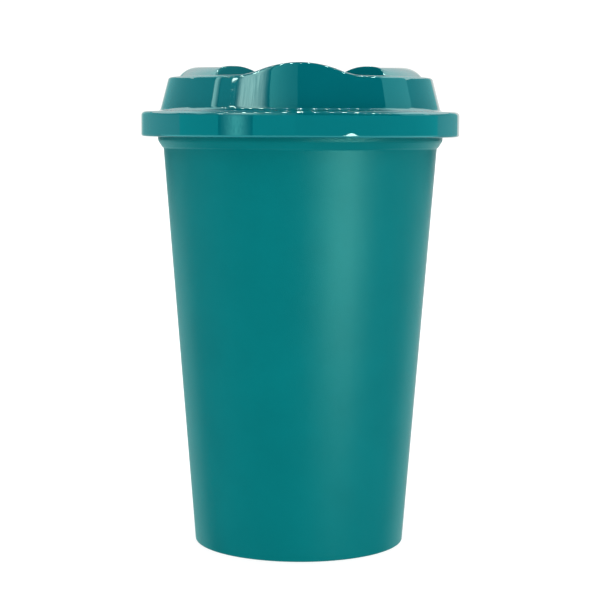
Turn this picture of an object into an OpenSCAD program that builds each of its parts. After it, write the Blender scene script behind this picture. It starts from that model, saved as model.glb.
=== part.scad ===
// Lidded drinking tumbler: a tapered cup and a press-on lid, each one moulding.
// Millimetres, +Z up. The origin is the centre of the foot, and the mouthpiece faces -Y.

/* [Cup] */
// Height of the cup alone, foot to rim
cup_h = 133; // [110:1:160]
// Outer radius of the wall, carried down to the table
foot_r = 32.8; // [30:0.1:34]
// Outer radius of the wall at the crease under the collar
crease_r = 42.5; // [42:0.1:43]
// Depth of the crease below the rim
crease_drop = 9.5; // [9:0.1:10]
// Wall thickness of the cup
cup_wall = 1.4; // [1:0.1:1.6]
// Outer radius of the rim's turned-over lip
rim_r = 47; // [46.8:0.1:47.2]
// Height of the turned-over lip
rim_h = 3.6; // [3:0.1:4]
// Height of the foot ring below the floor
foot_h = 2.4; // [1.5:0.1:4]

/* [Lid] */
// Outer radius of the skirt
skirt_r = 49.4; // [49:0.1:52]
// How far the skirt reaches below the cup's rim
skirt_drop = 5.9; // [5.5:0.1:6.5]
// Wall thickness of the lid
lid_wall = 1.4; // [1.2:0.1:1.6]
// Height of the deck above the cup's rim
deck_rise = 12.2; // [11:0.1:14]
// Outer radius of the cone wall at the deck
deck_r = 40.9; // [40.2:0.1:41.4]
// Depth of the bowl in the middle of the deck
bowl_depth = 5.5; // [4:0.1:6]
// Radius of the bowl at the deck
bowl_r = 20.5; // [18:0.1:21]

/* [Mouthpiece and lobes] */
// Height of the mouthpiece's crest above the deck
wave_h = 3.65; // [3.4:0.05:5]
// Radius of the wave's round top
crest_arc = 32; // [28:1:36]
// Radius of the hollows that lead into the wave
foot_arc = 18; // [14:1:22]
// Height of the side lobes above the deck
lobe_h = 3.2; // [2.5:0.1:3.4]
// Distance of the lobes' flat ends from the middle
lobe_reach = 22; // [18:0.5:24]
// Length of the sip hole
sip_len = 12; // [9:0.5:14]
// Width of the sip hole
sip_w = 5; // [4.5:0.1:5.5]
// Radius of the vent hole
vent_r = 0.9; // [0.6:0.1:1.5]

/* [Hidden] */
$fn = 96;
eps = 0.05;

teal_matte = [0.02, 0.47, 0.47];
teal_gloss = [0.01, 0.44, 0.46];

// Cup heights and radii
crease_z = cup_h - crease_drop;
taper = (crease_r - foot_r) / crease_z;
foot_round = 0.4;
foot_ring_w = 4;
foot_draft = 0.8;
floor_t = 1.6;
floor_z = foot_h + floor_t;
floor_round = 3;
shoulder_rise = 3;
shoulder_out = 1.9;
shoulder_soft = 0.4;
collar_r = crease_r + shoulder_out;
collar_draft = 0.15;
lip_t = 1.3;
edge_round = 1.1;

// Lid heights and radii
seat_gap = 0.05;
seat_z = cup_h + seat_gap;
shelf_extra = 0.35;
shelf_z = seat_z + lid_wall + shelf_extra;
skirt_z = cup_h - skirt_drop;
skirt_t = 1.5;
skirt_round = 1.1;
skirt_break = 0.5;
bead_gap = 0.15;
bead_r = rim_r + bead_gap;
bead_h = 1.1;
bead_lead = 0.4;
plug_r = 42.6;
plug_short = 0.4;
plug_z = skirt_z + plug_short;
cone_r = 43.6;
deck_z = cup_h + deck_rise;
cone_slope = (cone_r - deck_r) / (deck_z - shelf_z);
deck_round = 0.9;
crest_z = deck_z + wave_h;
bowl_z = deck_z - bowl_depth;
bowl_draft = 3;
bowl_floor_r = bowl_r - bowl_draft;

// Mouthpiece ridge: radii where its back starts, levels off and meets the front edge
ridge_back_r = 26.5;
ridge_top_r = 30.5;
ridge_sag = 1.2;
sip_r = (ridge_top_r + deck_r) / 2 - 1;

// Side lobes: an outer mound and an inner one, round about two centres on the X axis
outer_c = 9.5;
outer_r = 28.8;
inner_c = -4.4;
inner_r = 26.2;
lobe_roll = 5.2;

// Steps in each arc, and how far cutting shapes run past what they cut
steps = 8;
over = 1;
past = 10;

// Points along part of an ellipse about (x, y), from angle a to angle b
function oval(x, y, rx, ry, a, b, n = steps) =
    [for (i = [0:n]) [x + rx * cos(a + (b - a) * i / n), y + ry * sin(a + (b - a) * i / n)]];

// Points along part of a circle about (x, y), from angle a to angle b
function arc(x, y, r, a, b, n = steps) = oval(x, y, r, r, a, b, n);

// Outer radius of the cup's tapered wall at a height
function wall_r(z) = foot_r + taper * z;

// Radius of the lid's cone wall at a height
function lid_cone_r(z) = deck_r + cone_slope * (deck_z - z);

// Half of the cup, cut through its axis
module cup_section() {
    corner_z = floor_z + floor_round;
    corner_r = wall_r(corner_z) - cup_wall;
    polygon(concat(
        // underside: recessed floor and foot ring
        [[0, foot_h], [wall_r(0) - foot_ring_w - foot_draft, foot_h]],
        [[wall_r(0) - foot_ring_w, 0]],
        arc(wall_r(foot_round) - foot_round, foot_round, foot_round, -90, 0),
        // tapered wall, crease and collar
        [[crease_r, crease_z]],
        oval(crease_r, crease_z + shoulder_rise, shoulder_out, shoulder_rise - shoulder_soft, -72, 0),
        // turned-over lip
        [[collar_r + collar_draft, cup_h - cup_wall], [rim_r - lip_t, cup_h - cup_wall]],
        [[rim_r - lip_t, cup_h - rim_h], [rim_r, cup_h - rim_h]],
        arc(rim_r - edge_round, cup_h - edge_round, edge_round, 0, 90),
        arc(collar_r - cup_wall + edge_round, cup_h - edge_round, edge_round, 90, 180),
        // inside wall and floor
        [[collar_r - cup_wall - collar_draft, crease_z + shoulder_rise + shoulder_soft]],
        [[crease_r - cup_wall, crease_z - shoulder_soft]],
        [[corner_r, corner_z]],
        arc(corner_r - floor_round, corner_z, floor_round, 0, -90),
        [[0, floor_z]]
    ));
}

module cup() {
    color(teal_matte)
        rotate_extrude() cup_section();
}

// Half of the lid's outer shape below the mouthpiece and lobes, filled in
module lid_outer_section() {
    polygon(concat(
        [[0, plug_z], [plug_r, plug_z], [plug_r, skirt_z], [skirt_r - skirt_break, skirt_z]],
        [[skirt_r, skirt_z + skirt_break]],
        arc(skirt_r - skirt_round, shelf_z - skirt_round, skirt_round, 0, 90),
        [[cone_r + skirt_break, shelf_z], [lid_cone_r(shelf_z + skirt_break), shelf_z + skirt_break]],
        arc(lid_cone_r(deck_z) - deck_round, deck_z - deck_round, deck_round, 15, 90),
        [[bowl_r, deck_z], [bowl_floor_r, bowl_z], [0, bowl_z]]
    ));
}

// Half of the groove that takes the cup's rim, with the snap bead left standing
module lid_groove_section() {
    polygon([
        [plug_r, skirt_z - over], [bead_r + bead_lead, skirt_z - over],
        [bead_r + bead_lead, skirt_z], [bead_r, skirt_z + bead_lead], [bead_r, skirt_z + bead_h],
        [skirt_r - skirt_t, skirt_z + bead_h + bead_lead], [skirt_r - skirt_t, seat_z],
        [plug_r, seat_z]
    ]);
}

// Half of the hollow under the deck and round the bowl
module lid_hollow_section() {
    polygon([
        [0, plug_z - over], [plug_r - lid_wall, plug_z - over], [plug_r - lid_wall, shelf_z],
        [lid_cone_r(deck_z - lid_wall) - lid_wall, deck_z - lid_wall],
        [bowl_r + lid_wall, deck_z - lid_wall], [bowl_floor_r + lid_wall, bowl_z - lid_wall],
        [0, bowl_z - lid_wall]
    ]);
}

// Wave outline across the lid, lowered and narrowed by t to shape the inside
module wave_outline(t) {
    span = crest_arc + foot_arc;
    half = sqrt(span * span - (span - wave_h) * (span - wave_h));
    lean = asin(half / span);
    polygon(concat(
        [[-half, -past]],
        arc(-half, foot_arc - t, foot_arc, -90, lean - 90),
        arc(0, wave_h - crest_arc - t, crest_arc, 90 + lean, 90 - lean, 2 * steps),
        arc(half, foot_arc - t, foot_arc, -90 - lean, -90),
        [[half, -past]]
    ));
}

// Ridge round the front of the deck, inset by t to shape the inside
module ridge_section(t) {
    top = crest_z - t;
    polygon(concat(
        [[ridge_back_r + t, deck_z - lid_wall - eps], [ridge_back_r + t, deck_z - t]],
        [[ridge_top_r + t, crest_z - ridge_sag - t]],
        arc(lid_cone_r(top) - t - deck_round, top - deck_round, deck_round, 90, 15),
        [[lid_cone_r(deck_z - lid_wall) - t - eps, deck_z - lid_wall - eps]]
    ));
}

// Mouthpiece: the ridge kept only under the wave, on the front half of the lid
module mouthpiece(t) {
    intersection() {
        rotate_extrude() ridge_section(t);
        translate([0, 0, deck_z]) rotate([90, 0, 0])
            linear_extrude(height = skirt_r) wave_outline(t);
    }
}

// Mound round about an axis, flat on top and rolled off at its rim
module outer_mound(t) {
    rotate_extrude() polygon(concat(
        [[0, -lid_wall - eps], [outer_r - t, -lid_wall - eps]],
        oval(outer_r - lobe_roll - t, -t, lobe_roll, lobe_h, 0, 90),
        [[0, lobe_h - t]]
    ));
}

// Ring that rises from its inner edge to the mound's height
module inner_rise(t) {
    rotate_extrude() polygon(concat(
        [[inner_r + t, -lid_wall - eps]],
        oval(inner_r + lobe_roll + t, -t, lobe_roll, lobe_h + eps, 180, 90),
        [[skirt_r + past, lobe_h + eps - t], [skirt_r + past, -lid_wall - eps]]
    ));
}

// Side lobe on the +X side, inset by t to shape the inside
module lobe(t) {
    reach = lobe_reach - t;
    translate([0, 0, deck_z]) intersection() {
        translate([outer_c, 0, 0]) outer_mound(t);
        translate([inner_c, 0, 0]) inner_rise(t);
        translate([0, -reach, -past]) cube([skirt_r, 2 * reach, 2 * past]);
    }
}

// Both lobes
module lobes(t) {
    lobe(t);
    mirror([1, 0, 0]) lobe(t);
}

// Slot with round ends through the mouthpiece's top
module sip_hole() {
    run = (sip_len - sip_w) / 2;
    translate([0, -sip_r, deck_z - lid_wall]) {
        translate([run, 0, 0]) cylinder(h = past, d = sip_w);
        translate([-run, 0, 0]) cylinder(h = past, d = sip_w);
        translate([-run, -sip_w / 2, 0]) cube([2 * run, sip_w, past]);
    }
}

// Small round hole at the back of the deck that lets air in
module vent_hole() {
    translate([0, (bowl_r + deck_r) / 2, deck_z - past / 2]) cylinder(h = past, r = vent_r);
}

module lid() {
    color(teal_gloss)
        difference() {
            union() {
                rotate_extrude() lid_outer_section();
                mouthpiece(0);
                lobes(0);
            }
            rotate_extrude() lid_hollow_section();
            rotate_extrude() lid_groove_section();
            mouthpiece(lid_wall);
            lobes(lid_wall);
            sip_hole();
            vent_hole();
        }
}

cup();
lid();
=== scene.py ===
"""Looks for the lidded drinking tumbler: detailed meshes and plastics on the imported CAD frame."""

import math

import bpy
import numpy as np
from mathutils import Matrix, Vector


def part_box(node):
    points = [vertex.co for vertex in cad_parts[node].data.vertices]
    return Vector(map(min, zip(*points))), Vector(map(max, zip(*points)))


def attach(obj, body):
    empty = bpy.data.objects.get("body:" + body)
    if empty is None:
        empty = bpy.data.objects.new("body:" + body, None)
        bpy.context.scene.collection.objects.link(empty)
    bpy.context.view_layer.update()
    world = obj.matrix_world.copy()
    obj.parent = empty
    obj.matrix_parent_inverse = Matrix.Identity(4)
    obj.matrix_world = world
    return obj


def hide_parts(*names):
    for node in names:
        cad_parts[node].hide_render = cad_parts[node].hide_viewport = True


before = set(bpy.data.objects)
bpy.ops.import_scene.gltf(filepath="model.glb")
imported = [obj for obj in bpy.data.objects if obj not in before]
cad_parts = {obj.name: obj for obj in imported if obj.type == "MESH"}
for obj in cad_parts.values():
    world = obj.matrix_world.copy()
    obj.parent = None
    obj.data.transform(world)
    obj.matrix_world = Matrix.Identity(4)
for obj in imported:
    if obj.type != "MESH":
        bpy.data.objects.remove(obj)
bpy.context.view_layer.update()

# Shapes are worked out in millimetres and written in metres.
MM = 0.001
CUP_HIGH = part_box("cup")[1] / MM
LID_LOW, LID_HIGH = (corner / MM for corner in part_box("lid"))

# Cup, from the frame's boxes
CUP_H = CUP_HIGH.z
RIM_R = CUP_HIGH.x
FOOT_R = 32.8
CREASE_R = 42.5
CREASE_Z = CUP_H - 9.5
CUP_WALL = 1.4
FOOT_H = 2.4
FLOOR_Z = 4.0
TAPER = (CREASE_R - FOOT_R) / CREASE_Z
COLLAR_R = CREASE_R + 1.9
LIP_T = 1.3
RIM_H = 3.6

# Lid, from the frame's boxes
SKIRT_R = LID_HIGH.x
SKIRT_Z = LID_LOW.z
CREST_Z = LID_HIGH.z
WAVE_H = 3.65
CREST_ARC = 32.0
HOLLOW_ARC = 18.0
DECK_Z = CREST_Z - WAVE_H
LID_WALL = 1.4
SEAT_Z = CUP_H + 0.05
SHELF_Z = SEAT_Z + 1.75
BEAD_R = RIM_R + 0.15
GROOVE_R = SKIRT_R - 1.5
PLUG_R = 42.6
PLUG_Z = SKIRT_Z + 0.4
CONE_R = 43.6
DECK_R = 40.9
CONE_SLOPE = (CONE_R - DECK_R) / (DECK_Z - SHELF_Z)
CONE_TILT = math.atan(CONE_SLOPE)
EDGE_ROUND = 0.9
BOWL_R = 20.5
BOWL_FLOOR_R = 17.5
BOWL_Z = DECK_Z - 5.5
LOBE_H = 3.3
LOBE_REACH = 22.0
LOBE_FACE_ANGLE = 42.0
SIP_MIDDLE = 34.45
SIP_HALF = 3.5
SIP_R = 2.5
VENT_R = 0.9
VENT_Y = (BOWL_R + DECK_R) / 2

# Fillets round the edges of the holes
SIP_EDGE = 0.7
VENT_EDGE = 0.35

# How far from a rounded edge a straight wall gets its first row, so that it shades straight
FLAT_START = 1.4


# ---------------------------------------------------------------- meshes

def smoothstep(low, high, value):
    """0 below low, 1 above high, and an S-curve between."""
    t = np.clip((value - low) / (high - low), 0.0, 1.0)
    return t * t * (3.0 - 2.0 * t)


def soft_min(a, b, blend):
    """The lower of a and b, with the corner between them rounded over a height of about blend."""
    h = np.maximum(blend - np.abs(a - b), 0.0) / blend
    return np.minimum(a, b) - h * h * blend / 4.0


def soft_max(a, b, blend):
    """The higher of a and b, with the corner between them filled over a height of about blend."""
    return -soft_min(-a, -b, blend)


def rounded(corners, steps=7):
    """A polyline through (r, z, fillet) corners, with an arc of that radius at each inner corner."""
    points = [corners[0][:2]]
    for before, here, after in zip(corners, corners[1:], corners[2:]):
        p = np.array(here[:2], float)
        back = np.array(before[:2], float) - p
        on = np.array(after[:2], float) - p
        back /= np.linalg.norm(back)
        on /= np.linalg.norm(on)
        half = math.acos(max(-1.0, min(1.0, float(back @ on)))) / 2.0
        if here[2] == 0 or half > math.radians(89.5):
            points.append(tuple(p))
            continue
        reach = here[2] / math.tan(half)
        middle = p + (back + on) / np.linalg.norm(back + on) * here[2] / math.sin(half)
        start = p + back * reach - middle
        end = p + on * reach - middle
        turn = math.atan2(start[0] * end[1] - start[1] * end[0], float(start @ end))
        for i in range(steps + 1):
            a = turn * i / steps
            spin = np.array([[math.cos(a), -math.sin(a)], [math.sin(a), math.cos(a)]])
            points.append(tuple(middle + spin @ start))
    points.append(corners[-1][:2])
    return points


def lathe(name, rows, angles):
    """A closed mesh from rows of (radius, height, angle), the first and last of them on the axis."""
    columns = len(angles)
    verts = [(0.0, 0.0, float(np.mean(rows[0][1])) * MM)]
    for radius, height, angle in rows[1:-1]:
        x = np.broadcast_to(radius * np.sin(angle), columns)
        y = np.broadcast_to(-radius * np.cos(angle), columns)
        z = np.broadcast_to(height, columns)
        verts.extend(zip(x * MM, y * MM, z * MM))
    verts.append((0.0, 0.0, float(np.mean(rows[-1][1])) * MM))
    last = len(verts) - 1
    faces = []
    for k in range(columns):
        n = (k + 1) % columns
        faces.append((0, 1 + k, 1 + n))
        for j in range(len(rows) - 3):
            here = 1 + j * columns
            faces.append((here + k, here + columns + k, here + columns + n, here + n))
        end = 1 + (len(rows) - 3) * columns
        faces.append((end + k, last, end + n))
    mesh = bpy.data.meshes.new(name)
    mesh.from_pydata(verts, [], faces)
    mesh.update()
    obj = bpy.data.objects.new(name, mesh)
    bpy.context.scene.collection.objects.link(obj)
    return obj


def smooth(obj, sharp_degrees=40):
    """Smooth shading, with edges sharper than the given angle left crisp."""
    obj.data.shade_smooth()
    obj.data.set_sharp_from_angle(angle=math.radians(sharp_degrees))


def wall_r(z):
    """Outer radius of the cup's tapered wall."""
    return FOOT_R + TAPER * z


def make_cup():
    """The cup as one turned mesh: foot ring, tapered wall, collar, turned-over rim and inside."""
    inner_low = wall_r(FLOOR_Z + 3) - CUP_WALL
    ring_r = wall_r(0) - 4.0
    outline = rounded([
        (0, FOOT_H + 0.25, 0),
        (1.3, FOOT_H + 0.25, 0.2), (1.6, FOOT_H + 0.6, 0.2),
        (4.2, FOOT_H + 0.6, 0.2), (4.6, FOOT_H, 0.2),
        (ring_r - 0.8, FOOT_H, 0.7), (ring_r, 0, 0.5),
        (wall_r(0), 0, 0.4),
        (wall_r(FLAT_START), FLAT_START, 0),
        (wall_r(CREASE_Z - FLAT_START), CREASE_Z - FLAT_START, 0),
        (CREASE_R, CREASE_Z, 0.35),
        (CREASE_R + 0.5, CREASE_Z + 0.45, 0.5),
        (COLLAR_R - 0.2, CREASE_Z + 2.3, 1.8),
        (COLLAR_R + 0.12, CUP_H - CUP_WALL, 0.5),
        (RIM_R - LIP_T, CUP_H - CUP_WALL, 0.4),
        (RIM_R - LIP_T, CUP_H - RIM_H, 0.5),
        (RIM_R, CUP_H - RIM_H, 0.5),
        (RIM_R, CUP_H, 1.1),
        (COLLAR_R - CUP_WALL, CUP_H, 1.1),
        (COLLAR_R - CUP_WALL - 0.1, CREASE_Z + 3.4, 1.5),
        (CREASE_R - CUP_WALL, CREASE_Z - 0.4, 1.5),
        (inner_low, FLOOR_Z + 3, 0),
        (inner_low - 0.25, FLOOR_Z, 3.0),
        (0, FLOOR_Z, 0),
    ])
    angles = np.linspace(0, 2 * math.pi, 360, endpoint=False)
    return lathe("cup_shell", [(r, z, angles) for r, z in outline], angles)


def wave(x):
    """Height of the mouthpiece's wave above the deck: a round crest between two hollows."""
    span = CREST_ARC + HOLLOW_ARC
    half = math.sqrt(span ** 2 - (span - WAVE_H) ** 2)
    turn_x = half * CREST_ARC / span
    a = np.abs(x)
    crest = WAVE_H - CREST_ARC + np.sqrt(CREST_ARC ** 2 - np.minimum(a, turn_x) ** 2)
    hollow = HOLLOW_ARC - np.sqrt(HOLLOW_ARC ** 2 - np.clip(half - a, 0.0, half - turn_x) ** 2)
    return np.where(a < turn_x, crest, hollow)


def lobe(r, angle, inset):
    """Height of the side lobes above the deck: a crescent hump with a steep flat front end."""
    ahead = r * np.cos(angle)
    behind_face = LOBE_REACH - inset - ahead
    bulge = np.clip(1.0 - (ahead / LOBE_REACH) ** 2, 0.0, 1.0)
    crest = 29.2 + 1.2 * bulge
    width = np.where(r > crest, 4.1 + 3.3 * bulge, 4.6 + 2.6 * bulge) - inset
    u = np.abs(r - crest) / width
    cut = 0.97
    rise = (1.0 - np.minimum(u, cut) ** 2.7) ** 0.9
    edge = (1.0 - cut ** 2.7) ** 0.9
    lip = 0.25 * smoothstep(3.0, 0.8, behind_face)
    body = 0.84 + 0.17 * smoothstep(1.0, LOBE_REACH, behind_face)
    height = LOBE_H * (body + lip / LOBE_H) * np.where(u < cut, rise, edge - (u - cut) * 4.0)
    front = behind_face * math.tan(math.radians(76.0))
    back = LOBE_H * smoothstep(154.0, 112.0, np.degrees(angle)) * 1.3 - 0.2
    height = soft_min(height, back, 0.8)
    height = soft_min(height, front, 0.7)
    return soft_max(height, 0.0 * height, 0.35)


def ridge(r, inset):
    """How much of the wave's height the mouthpiece has, from its back up to the front edge."""
    back = smoothstep(26.0 + inset, 32.0 + inset, r)
    return back * (0.80 + 0.20 * smoothstep(29.0, 38.0, r))


def crown(r, angle, inset=0.0):
    """Height of everything that stands on the deck, at a radius and an angle from the front."""
    side = np.abs(angle)
    mouth = ridge(r, inset) * wave(r * np.sin(side) * (1.0 + 0.03 * inset))
    mouth = np.where(side < math.pi / 2, mouth, 0.0)
    return np.maximum(mouth, lobe(r, side, inset))


def lid_angles():
    """Column angles, from the back round to the back, close together at the lobes' flat ends."""
    half = np.concatenate([
        np.arange(0.0, 39.0, 0.6), np.arange(39.0, 45.0, 0.12), np.arange(45.0, 180.0, 0.75), [180.0],
    ])
    return np.radians(np.concatenate([-half[:0:-1], half[:-1]]))


def follow_face(angles, r):
    """Bends the columns near a lobe's flat end so that one of them runs along it."""
    degrees = np.abs(np.degrees(angles))
    near = 1.0 - np.clip((np.abs(degrees - LOBE_FACE_ANGLE) - 2.5) / 24.0, 0.0, 1.0)
    window = smoothstep(22.5, 25.0, r) * smoothstep(39.0, 36.5, r)
    wanted = math.degrees(math.acos(LOBE_REACH / max(r, 25.0)))
    shifted = degrees + near * window * (wanted - LOBE_FACE_ANGLE)
    return np.radians(shifted) * np.sign(angles)


def cone_r(z):
    """Radius of the lid's cone wall, as a sharp-edged cone."""
    return DECK_R + CONE_SLOPE * (DECK_Z - z)


def make_lid():
    """The lid as one lathe-like mesh whose deck and rim change height round the axis."""
    angles = lid_angles()
    rows = []

    def still(points):
        rows.extend((r, z, angles) for r, z in points)

    # bowl, from its middle up to the deck
    bowl = rounded([
        (0, BOWL_Z - 0.3, 0), (6, BOWL_Z - 0.25, 0), (BOWL_FLOOR_R, BOWL_Z, 1.6),
        (BOWL_R, DECK_Z, 1.0), (BOWL_R + 1.2, DECK_Z, 0),
    ])
    still(bowl)

    # deck, out to the rounded rim
    edge_x = DECK_R * np.sin(angles)
    top = DECK_Z + np.where(np.cos(angles) > 0, wave(edge_x), 0.0)
    middle = cone_r(top) + CONE_SLOPE * EDGE_ROUND - EDGE_ROUND / math.cos(CONE_TILT)
    start = BOWL_R + 1.2
    for t in np.linspace(0.0, 1.0, 62)[1:-1]:
        r = start + (middle - start) * t
        bent = np.array([follow_face(np.array([a]), q)[0] for a, q in zip(angles, r)])
        rows.append((r, DECK_Z + crown(r, bent), bent))
    for a in np.linspace(math.pi / 2, CONE_TILT, 8):
        height = top - EDGE_ROUND + EDGE_ROUND * math.sin(a)
        rows.append((middle + EDGE_ROUND * math.cos(a), height, angles))
    rows.append((cone_r(top - FLAT_START), top - FLAT_START, angles))

    # cone wall, land, shelf, skirt, bead, groove and plug
    still(rounded([
        (cone_r(DECK_Z - 3.0), DECK_Z - 3.0, 0),
        (cone_r(SHELF_Z + FLAT_START), SHELF_Z + FLAT_START, 0),
        (CONE_R, SHELF_Z + 0.12, 1.2),
        (SKIRT_R - 0.06, SHELF_Z - 0.02, 1.25),
        (SKIRT_R, SHELF_Z - FLAT_START, 0),
        (SKIRT_R, SKIRT_Z + FLAT_START, 0),
        (SKIRT_R, SKIRT_Z, 0.7),
        (RIM_R + 0.5, SKIRT_Z, 0.3),
        (BEAD_R, SKIRT_Z + 0.55, 0.2),
        (BEAD_R, SKIRT_Z + 1.1, 0.2),
        (GROOVE_R, SKIRT_Z + 1.6, 0.2),
        (GROOVE_R, SEAT_Z, 0.4),
        (PLUG_R, SEAT_Z, 0.4),
        (PLUG_R, PLUG_Z + 1.2, 0.4),
        (PLUG_R - 0.5, PLUG_Z, 0.3),
        (PLUG_R - LID_WALL, PLUG_Z, 0.4),
        (PLUG_R - LID_WALL, SHELF_Z + 0.6, 0),
    ]))

    # underside of the deck, then of the bowl
    under_top = DECK_Z - LID_WALL
    rim_in = cone_r(top) - LID_WALL * 1.3
    rows.append((rim_in + 0.5, top - LID_WALL - 0.7, angles))
    rows.append((rim_in + 0.1, top - LID_WALL - 0.15, angles))
    inner_end = BOWL_R + LID_WALL * 1.1 + 0.6
    for t in np.linspace(0.0, 1.0, 40)[1:]:
        r = rim_in + (inner_end - rim_in) * t
        bent = np.array([follow_face(np.array([a]), q)[0] for a, q in zip(angles, r)])
        rows.append((r, under_top + crown(r, bent, 1.2), bent))
    still(rounded([
        (BOWL_R + LID_WALL * 1.1, under_top, 0),
        (BOWL_FLOOR_R + LID_WALL, BOWL_Z - LID_WALL, 1.2),
        (0, BOWL_Z - LID_WALL - 0.25, 0),
    ]))
    return lathe("lid_shell", rows, angles)


def crown_at(x, y):
    """Height of the lid's top surface at a place on the deck."""
    r = np.hypot(x, y)
    return DECK_Z + crown(r, np.abs(np.arctan2(x, -y)))


def drill(lid, name, outline, fillet):
    """Cuts a hole with a rounded edge. outline(offset) gives the hole's points, grown by offset."""
    levels = []
    for a in np.linspace(math.radians(8.0), math.pi / 2, 7):
        x, y = outline(fillet * (1.0 - math.sin(a)))
        levels.append((x, y, crown_at(x, y) - fillet * (1.0 - math.cos(a))))
    first = levels[0]
    levels.insert(0, (first[0], first[1], np.full(len(first[0]), CREST_Z + 4.0)))
    last = levels[-1]
    levels.append((last[0], last[1], np.full(len(last[0]), DECK_Z - 6.0)))
    count = len(first[0])
    verts = [(x * MM, y * MM, z * MM) for level in levels for x, y, z in zip(*level)]
    faces = [tuple(range(count)), tuple((len(levels) - 1) * count + k for k in reversed(range(count)))]
    for j in range(len(levels) - 1):
        for k in range(count):
            n = (k + 1) % count
            faces.append((j * count + k, (j + 1) * count + k, (j + 1) * count + n, j * count + n))
    mesh = bpy.data.meshes.new(name)
    mesh.from_pydata(verts, [], faces)
    cutter = bpy.data.objects.new(name, mesh)
    bpy.context.scene.collection.objects.link(cutter)
    cut = lid.modifiers.new(name, "BOOLEAN")
    cut.operation = "DIFFERENCE"
    cut.solver = "EXACT"
    cut.object = cutter
    bpy.context.view_layer.objects.active = lid
    bpy.ops.object.modifier_apply(modifier=name)
    bpy.data.objects.remove(cutter)


def sip_outline(offset):
    """A slot with round ends across the mouthpiece."""
    a = np.linspace(0, 2 * math.pi, 72, endpoint=False) + 0.01
    r = SIP_R + offset
    return r * np.cos(a) + SIP_HALF * np.sign(np.cos(a)), r * np.sin(a) - SIP_MIDDLE


def vent_outline(offset):
    """A small circle at the back of the deck."""
    a = np.linspace(0, 2 * math.pi, 32, endpoint=False) + 0.01
    r = VENT_R + offset
    return r * np.cos(a), r * np.sin(a) + VENT_Y


# ---------------------------------------------------------------- materials

def new_material(name):
    """An empty node material, its node adder and its Principled shader."""
    material = bpy.data.materials.new(name)
    material.use_nodes = True
    nodes = material.node_tree.nodes
    links = material.node_tree.links
    shader = nodes["Principled BSDF"]
    place = nodes.new("ShaderNodeTexCoord")

    def add(kind, inputs=None, **settings):
        node = nodes.new(kind)
        for key, value in settings.items():
            setattr(node, key, value)
        for key, value in (inputs or {}).items():
            if isinstance(value, bpy.types.NodeSocket):
                links.new(value, node.inputs[key])
            else:
                node.inputs[key].default_value = value
        return node

    return material, add, links, shader, place.outputs["Object"]


def cup_plastic():
    """Matte polypropylene: fine spark-eroded grain and faint mottling."""
    material, add, links, shader, place = new_material("cup_plastic")
    grain = add("ShaderNodeTexNoise", {
        "Vector": place, "Scale": 3800.0, "Detail": 3.0, "Roughness": 0.6,
    })
    cloud = add("ShaderNodeTexNoise", {
        "Vector": place, "Scale": 70.0, "Detail": 4.0, "Roughness": 0.55,
    })
    blend = add("ShaderNodeMath", {0: grain.outputs["Fac"], 1: cloud.outputs["Fac"]}, operation="ADD")
    half = add("ShaderNodeMath", {0: blend.outputs[0], 1: 0.5}, operation="MULTIPLY")
    tone = add("ShaderNodeValToRGB", {"Fac": half.outputs[0]})
    tone.color_ramp.elements[0].position = 0.3
    tone.color_ramp.elements[0].color = (0.0005, 0.153, 0.165, 1)
    tone.color_ramp.elements[1].position = 0.7
    tone.color_ramp.elements[1].color = (0.0005, 0.179, 0.192, 1)
    links.new(tone.outputs["Color"], shader.inputs["Base Color"])
    rough = add("ShaderNodeMapRange", {"Value": grain.outputs["Fac"], "To Min": 0.26, "To Max": 0.36})
    links.new(rough.outputs["Result"], shader.inputs["Roughness"])
    bump = add("ShaderNodeBump", {"Height": grain.outputs["Fac"], "Strength": 0.7, "Distance": 0.00006})
    links.new(bump.outputs["Normal"], shader.inputs["Normal"])
    shader.inputs["Specular IOR Level"].default_value = 0.3
    shader.inputs["Specular Tint"].default_value = (0.1, 1.0, 0.9, 1)
    return material


def lid_plastic():
    """Glossy polypropylene: a polished skin with slight waviness and a faintly uneven gloss."""
    material, add, links, shader, place = new_material("lid_plastic")
    cloud = add("ShaderNodeTexNoise", {"Vector": place, "Scale": 60.0, "Detail": 3.0})
    tone = add("ShaderNodeValToRGB", {"Fac": cloud.outputs["Fac"]})
    tone.color_ramp.elements[0].position = 0.3
    tone.color_ramp.elements[0].color = (0.0005, 0.116, 0.138, 1)
    tone.color_ramp.elements[1].position = 0.7
    tone.color_ramp.elements[1].color = (0.0005, 0.124, 0.147, 1)
    links.new(tone.outputs["Color"], shader.inputs["Base Color"])
    haze = add("ShaderNodeTexNoise", {"Vector": place, "Scale": 400.0, "Detail": 4.0})
    rough = add("ShaderNodeMapRange", {"Value": haze.outputs["Fac"], "To Min": 0.012, "To Max": 0.035})
    links.new(rough.outputs["Result"], shader.inputs["Roughness"])
    ripple = add("ShaderNodeTexNoise", {"Vector": place, "Scale": 140.0, "Detail": 1.0})
    bump = add("ShaderNodeBump", {"Height": ripple.outputs["Fac"], "Strength": 0.15, "Distance": 0.0001})
    links.new(bump.outputs["Normal"], shader.inputs["Normal"])
    shader.inputs["Specular Tint"].default_value = (0.45, 1.0, 0.95, 1)
    return material


# ---------------------------------------------------------------- studio

def make_floor():
    """A pale floor far wider than the view, which the plastics don't mirror."""
    bpy.ops.mesh.primitive_plane_add(size=30.0)
    floor = bpy.context.object
    floor.name = "floor"
    material, _, _, shader, _ = new_material("floor_paper")
    shader.inputs["Base Color"].default_value = (0.3, 0.3, 0.3, 1)
    shader.inputs["Roughness"].default_value = 0.9
    shader.inputs["Emission Color"].default_value = (1, 1, 1, 1)
    shader.inputs["Emission Strength"].default_value = 0.78
    floor.data.materials.append(material)
    floor.visible_glossy = False


# Mean strength of the soft light, and how it grows towards +X, +Y and +Z
TENT = 1.28
TENT_LEAN = (0.16, 0.3, 0.15)

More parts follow.
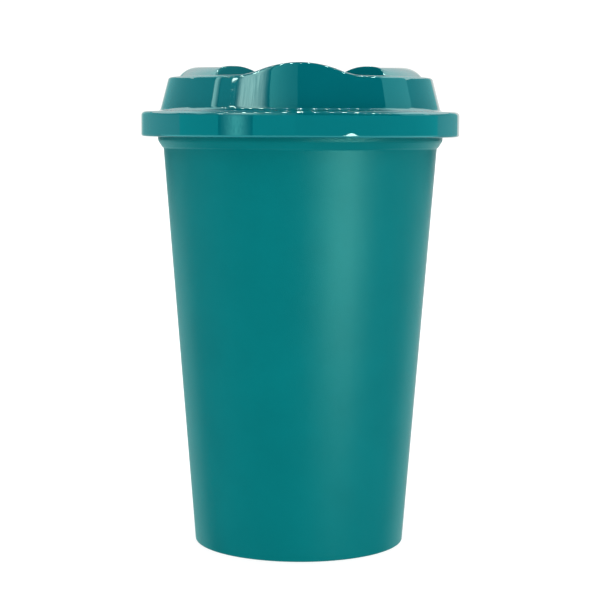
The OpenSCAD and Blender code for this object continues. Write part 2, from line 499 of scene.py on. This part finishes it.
# The middle of the white backdrop behind the tumbler
BACKDROP = (0.078, 0.997, 0.0)


def make_world():
    """White for the camera, an almost even tent for soft light, and darker walls for reflections."""
    world = bpy.data.worlds.new("studio")
    bpy.context.scene.world = world
    world.use_nodes = True
    nodes, links = world.node_tree.nodes, world.node_tree.links
    back = nodes["Background"]
    direction = nodes.new("ShaderNodeTexCoord").outputs["Generated"]
    split = nodes.new("ShaderNodeSeparateXYZ")
    links.new(direction, split.inputs[0])

    def ramp(value, low, high, to_low, to_high, curve="SMOOTHSTEP"):
        node = nodes.new("ShaderNodeMapRange")
        node.interpolation_type = curve
        links.new(value, node.inputs["Value"])
        for end, (start, result) in {"Min": (low, to_low), "Max": (high, to_high)}.items():
            node.inputs["From " + end].default_value = start
            node.inputs["To " + end].default_value = result
        return node.outputs["Result"]

    def math_node(operation, a, b):
        node = nodes.new("ShaderNodeMath")
        node.operation = operation
        for socket, value in zip(node.inputs, (a, b)):
            if isinstance(value, bpy.types.NodeSocket):
                links.new(value, socket)
            else:
                socket.default_value = value
        return node.outputs[0]

    y, z = split.outputs["Y"], split.outputs["Z"]
    sides = math_node("MULTIPLY", ramp(y, -0.6, 0.1, 1.35, 0.75), ramp(y, -1.0, -0.7, 0.45, 1.0))
    high = math_node("MULTIPLY", ramp(z, 0.2, 0.3, 0.0, 1.0), ramp(y, -0.15, 0.0, 0.0, 1.0))
    over_back = math_node("MULTIPLY", high, ramp(y, 0.0, 0.97, 6.0, 0.0, "LINEAR"))
    behind = nodes.new("ShaderNodeVectorMath")
    behind.operation = "DOT_PRODUCT"
    links.new(direction, behind.inputs[0])
    behind.inputs[1].default_value = BACKDROP
    backdrop = ramp(behind.outputs["Value"], 0.925, 0.955, 0.0, 1.0)
    open_sky = math_node("MULTIPLY", math_node("ADD", sides, over_back), ramp(z, 0.68, 0.85, 1.0, 0.0))
    mirrored = math_node("ADD", open_sky, math_node("MULTIPLY", backdrop, 0.3))
    lean = nodes.new("ShaderNodeVectorMath")
    lean.operation = "DOT_PRODUCT"
    links.new(direction, lean.inputs[0])
    lean.inputs[1].default_value = TENT_LEAN
    tent = math_node("ADD", lean.outputs["Value"], TENT)
    path = nodes.new("ShaderNodeLightPath")
    warm = nodes.new("ShaderNodeMixRGB")
    links.new(math_node("MAXIMUM", high, backdrop), warm.inputs["Fac"])
    warm.inputs["Color1"].default_value = (0.6, 1.0, 0.97, 1)
    warm.inputs["Color2"].default_value = (1.0, 1.0, 0.97, 1)
    hue = nodes.new("ShaderNodeMixRGB")
    links.new(path.outputs["Is Glossy Ray"], hue.inputs["Fac"])
    hue.inputs["Color1"].default_value = (1, 1, 1, 1)
    links.new(warm.outputs["Color"], hue.inputs["Color2"])
    links.new(hue.outputs["Color"], back.inputs["Color"])
    chosen = nodes.new("ShaderNodeMix")
    chosen.data_type = "FLOAT"
    links.new(path.outputs["Is Glossy Ray"], chosen.inputs["Factor"])
    links.new(tent, chosen.inputs["A"])
    links.new(mirrored, chosen.inputs["B"])
    seen = nodes.new("ShaderNodeMix")
    seen.data_type = "FLOAT"
    links.new(path.outputs["Is Camera Ray"], seen.inputs["Factor"])
    links.new(chosen.outputs["Result"], seen.inputs["A"])
    seen.inputs["B"].default_value = 1.1
    links.new(seen.outputs["Result"], back.inputs["Strength"])
    world.cycles.sampling_method = "NONE"


# A card that is bright up to its ends
NO_FADE = (0, 0, 0, 0)

# How far the cards are from the lid. Nearer cards hide the farther ones.
WALL_FAR = 0.45
WALL_MIDDLE = 0.44
WALL_NEAR = 0.43
LAMP_NEAR = 0.42


def toward(azimuth, elevation, distance, centre=(0.0, 0.0, 0.14)):
    """The point at an azimuth from the front, positive to the right, and an elevation, in degrees."""
    a, e = math.radians(azimuth), math.radians(elevation)
    step = Vector((math.sin(a) * math.cos(e), -math.cos(a) * math.cos(e), math.sin(e)))
    return Vector(centre) + step * distance


def glow_material(name, radiance, colour, fade, mottle, rest=0.0):
    """A card's light, which fades to rest over the stated parts of its left, right, low and high ends."""
    material = bpy.data.materials.new(name)
    material.use_nodes = True
    nodes, links = material.node_tree.nodes, material.node_tree.links
    glow = nodes.new("ShaderNodeEmission")
    glow.inputs["Color"].default_value = (*colour, 1)
    place = nodes.new("ShaderNodeUVMap")
    split = nodes.new("ShaderNodeSeparateXYZ")
    links.new(place.outputs[0], split.inputs[0])
    strength = None
    left, right, lower, upper = fade
    ends = (("X", 0.0, left), ("X", 1.0, 1.0 - right), ("Y", 0.0, lower), ("Y", 1.0, 1.0 - upper))
    for axis, dark, bright in ends:
        if dark == bright:
            continue
        edge = nodes.new("ShaderNodeMapRange")
        edge.interpolation_type = "SMOOTHSTEP"
        links.new(split.outputs[axis], edge.inputs["Value"])
        edge.inputs["From Min"].default_value = dark
        edge.inputs["From Max"].default_value = bright
        edge.inputs["To Min"].default_value = rest
        product = nodes.new("ShaderNodeMath")
        product.operation = "MULTIPLY"
        links.new(edge.outputs["Result"], product.inputs[0])
        if strength is None:
            product.inputs[1].default_value = radiance
        else:
            links.new(strength, product.inputs[1])
        strength = product.outputs[0]
    if strength is None:
        glow.inputs["Strength"].default_value = radiance
    else:
        cloud = nodes.new("ShaderNodeTexNoise")
        cloud.inputs["Scale"].default_value = 22.0
        cloud.inputs["Detail"].default_value = 3.0
        links.new(place.outputs[0], cloud.inputs["Vector"])
        patchy = nodes.new("ShaderNodeMapRange")
        links.new(cloud.outputs["Fac"], patchy.inputs["Value"])
        patchy.inputs["From Min"].default_value = 0.3
        patchy.inputs["From Max"].default_value = 0.7
        patchy.inputs["To Min"].default_value = 1.0 - mottle
        patchy.inputs["To Max"].default_value = 1.0 + mottle
        product = nodes.new("ShaderNodeMath")
        product.operation = "MULTIPLY"
        links.new(strength, product.inputs[0])
        links.new(patchy.outputs["Result"], product.inputs[1])
        links.new(product.outputs[0], glow.inputs["Strength"])
    links.new(glow.outputs[0], nodes["Material Output"].inputs["Surface"])
    return material


def mirror_card(name, strips, material, lit):
    """A glowing card that shows only as a reflection on one piece, from strips of (low, high) points."""
    verts, faces, uvs = [], [], []
    for columns in strips:
        start, last = len(verts), len(columns) - 1
        for low, high in columns:
            verts += [low, high]
        for i in range(last):
            k = start + 2 * i
            faces.append((k, k + 1, k + 3, k + 2))
            uvs += [(i / last, 0), (i / last, 1), ((i + 1) / last, 1), ((i + 1) / last, 0)]
    mesh = bpy.data.meshes.new(name)
    mesh.from_pydata(verts, [], faces)
    layer = mesh.uv_layers.new(name="UVMap")
    for k, uv in enumerate(uvs):
        layer.data[k].uv = uv
    mesh.materials.append(material)
    obj = bpy.data.objects.new(name, mesh)
    bpy.context.scene.collection.objects.link(obj)
    obj.visible_camera = False
    obj.visible_diffuse = False
    obj.visible_shadow = False
    receivers = bpy.data.collections.new(name + "_lights")
    receivers.objects.link(lit)
    obj.light_linking.receiver_collection = receivers


def wall_card(
    name, azimuths, elevations, radiance, tint, lit,
    fade=NO_FADE, mottle=0.0, distance=WALL_FAR, rest=0.0,
):
    """A curved card on the studio's wall, between two azimuths and two elevations in degrees."""
    left, right = azimuths
    across = max(2, int((right - left) / 4))
    columns = []
    for i in range(across + 1):
        azimuth = left + (right - left) * i / across
        columns.append([toward(azimuth, elevation, distance) for elevation in elevations])
    mirror_card(name, [columns], glow_material(name, radiance, tint, fade, mottle, rest), lit)


# Colours that make up for the teal tint of each plastic's reflections
WINDOW_TINT = (1.33, 1.0, 0.95)
FRAME_TINT = (1.0, 1.0, 0.95)
STRIPE_TINT = (2.9, 1.0, 0.9)
PATCH_TINT = (0.47, 1.0, 0.95)
EDGE_TINT = (0.4, 1.0, 1.0)
WALL_TINT = (0.08, 1.0, 1.0)

# The oval lamp at the front right, in degrees
OVAL_AZIMUTH = 34.3
OVAL_ELEVATION = -17.5
OVAL_HALF_ACROSS = 5.4
OVAL_HALF_UP = 15.0

# The row of small lamps over the front of the lid, in metres
LAMP_HALF_X = 0.0055
LAMP_HALF_Y = 0.004
LAMP_PITCH = 0.031
LAMP_ROW_Y, LAMP_ROW_Z = -0.095, 0.345


def make_cards(cup, lid):
    """The studio as the plastics mirror it: dark and pale walls, a window, a lamp and a lamp row."""
    wall_card("dark_wall", (-2, 73), (5, 70), 0.0, WALL_TINT, lid)
    wall_card("left_side", (-104, -56), (5, 29), 0.72, EDGE_TINT, lid)
    wall_card("right_wall", (73, 102), (5, 29), 1.7, EDGE_TINT, lid)
    wall_card("far_left", (-150, -104), (5, 19), 0.72, EDGE_TINT, lid)
    wall_card("far_right", (102, 150), (5, 19), 0.72, EDGE_TINT, lid)
    wall_card("low_far_left", (-150, -90), (-8, 5), 1.2, EDGE_TINT, lid, (1, 0, 0, 0), 0.0, WALL_FAR, 0.5)
    wall_card("low_left", (-90, -3), (-8, 5), 1.4, WALL_TINT, lid)
    wall_card("low_middle", (-3, 49), (-8, 5), 1.2, WALL_TINT, lid)
    wall_card("low_right", (49, 110), (-8, 5), 1.2, WALL_TINT, lid)
    wall_card("low_far_right", (110, 150), (-8, 5), 1.0, EDGE_TINT, lid, (0, 1, 0, 0), 0.0, WALL_FAR, 0.6)
    wall_card("left_wall", (-36, -2), (5, 50), 3.0, PATCH_TINT, lid, (0, 0.95, 0, 0), 0.1, WALL_FAR, 0.25)
    wall_card("wall_edge", (-4, -2), (16, 44), 1.8, WALL_TINT, lid, (0.5, 0, 0, 0), 0.0, WALL_MIDDLE)
    wall_card("window", (-55, -25), (14, 46), 7.6, WINDOW_TINT, lid, (0.25, 0.4, 0.1, 0.1), 0.5, WALL_NEAR)
    wall_card("window_low", (-56, -31), (-12, 5), 4.2, PATCH_TINT, lid, (0.6, 0.5, 0.1, 0.1), 0.4, WALL_NEAR)
    frame_fade = (0.15, 0.75, 0.2, 0.2)
    wall_card("window_frame", (-77, -70), (14, 44), 6.0, FRAME_TINT, lid, frame_fade, 0.3, WALL_NEAR)
    wall_card("floor_glow", (-115, 115), (-70, -12), 3.2, EDGE_TINT, lid, NO_FADE, 0.0, WALL_MIDDLE)
    glare = glow_material("window_glare", 34.0, WINDOW_TINT, (0.12, 0.12, 0, 0), 0.7)
    top = []
    for a in range(-60, -47, 2):
        top.append((toward(a, 24.1 + 0.173 * (a + 60), LAMP_NEAR), toward(a, 27, LAMP_NEAR)))
    sill = []
    for a in range(-60, -48, 2):
        sill.append((toward(a, 21, LAMP_NEAR), toward(a, 23.25 + 0.09 * (a + 56), LAMP_NEAR)))
    mirror_card("window_glare", [top, sill], glare, lid)
    wall_card("stripe", (11, 60), (-38, -8), 32.0, STRIPE_TINT, cup, (0.5, 0.5, 0.7, 0.15))
    oval = []
    for a in np.linspace(0.05, 0.95, 13) * math.pi:
        azimuth = OVAL_AZIMUTH - OVAL_HALF_ACROSS * math.cos(a)
        half = OVAL_HALF_UP * math.sin(a)
        ends = (OVAL_ELEVATION - half, OVAL_ELEVATION + half)
        oval.append([toward(azimuth, elevation, LAMP_NEAR) for elevation in ends])
    mirror_card("oval_lamp", [oval], glow_material("oval_lamp", 30.0, WINDOW_TINT, NO_FADE, 0.0), lid)
    lamps = []
    front, rear = LAMP_ROW_Y - LAMP_HALF_Y, LAMP_ROW_Y + LAMP_HALF_Y
    for i in range(-9, 10):
        sides = (i * LAMP_PITCH - LAMP_HALF_X, i * LAMP_PITCH + LAMP_HALF_X)
        lamps.append([((x, front, LAMP_ROW_Z), (x, rear, LAMP_ROW_Z)) for x in sides])
    mirror_card("lamp_row", lamps, glow_material("lamp_row", 280.0, WINDOW_TINT, NO_FADE, 0.0), lid)


# Where the photographer's camera stood, from the fit: degrees, metres and a focal length in millimetres
CAMERA_TURN = 0.33
CAMERA_TILT = 5.786
CAMERA_ROLL = 0.217
CAMERA_DISTANCE = 0.5478
CAMERA_ASIDE = 0.00011
CAMERA_HEIGHT = 0.1314
CAMERA_LENS = 104.95


def make_camera():
    """A camera in front of the mouthpiece, level with the skirt and tilted a little down."""
    camera = bpy.data.cameras.new("camera")
    camera.sensor_width = 36.0
    camera.lens = CAMERA_LENS
    camera.clip_start = 0.01
    obj = bpy.data.objects.new("camera", camera)
    turn = math.radians(CAMERA_TURN)
    right = CAMERA_DISTANCE * math.sin(turn) + CAMERA_ASIDE * math.cos(turn)
    back = CAMERA_ASIDE * math.sin(turn) - CAMERA_DISTANCE * math.cos(turn)
    obj.location = (right, back, CAMERA_HEIGHT)
    obj.rotation_euler = (math.pi / 2 - math.radians(CAMERA_TILT), 0, turn)
    obj.rotation_euler.rotate_axis("Z", math.radians(CAMERA_ROLL))
    bpy.context.scene.collection.objects.link(obj)
    bpy.context.scene.camera = obj


cup = make_cup()
smooth(cup)
cup.data.materials.append(cup_plastic())
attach(cup, "cup")
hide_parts("cup")

lid = make_lid()
drill(lid, "sip_cutter", sip_outline, SIP_EDGE)
drill(lid, "vent_cutter", vent_outline, VENT_EDGE)
smooth(lid)
lid.data.materials.append(lid_plastic())
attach(lid, "lid")
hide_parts("lid")

make_floor()
make_world()
make_cards(cup, lid)
make_camera()
bpy.context.scene.view_settings.view_transform = "Standard"
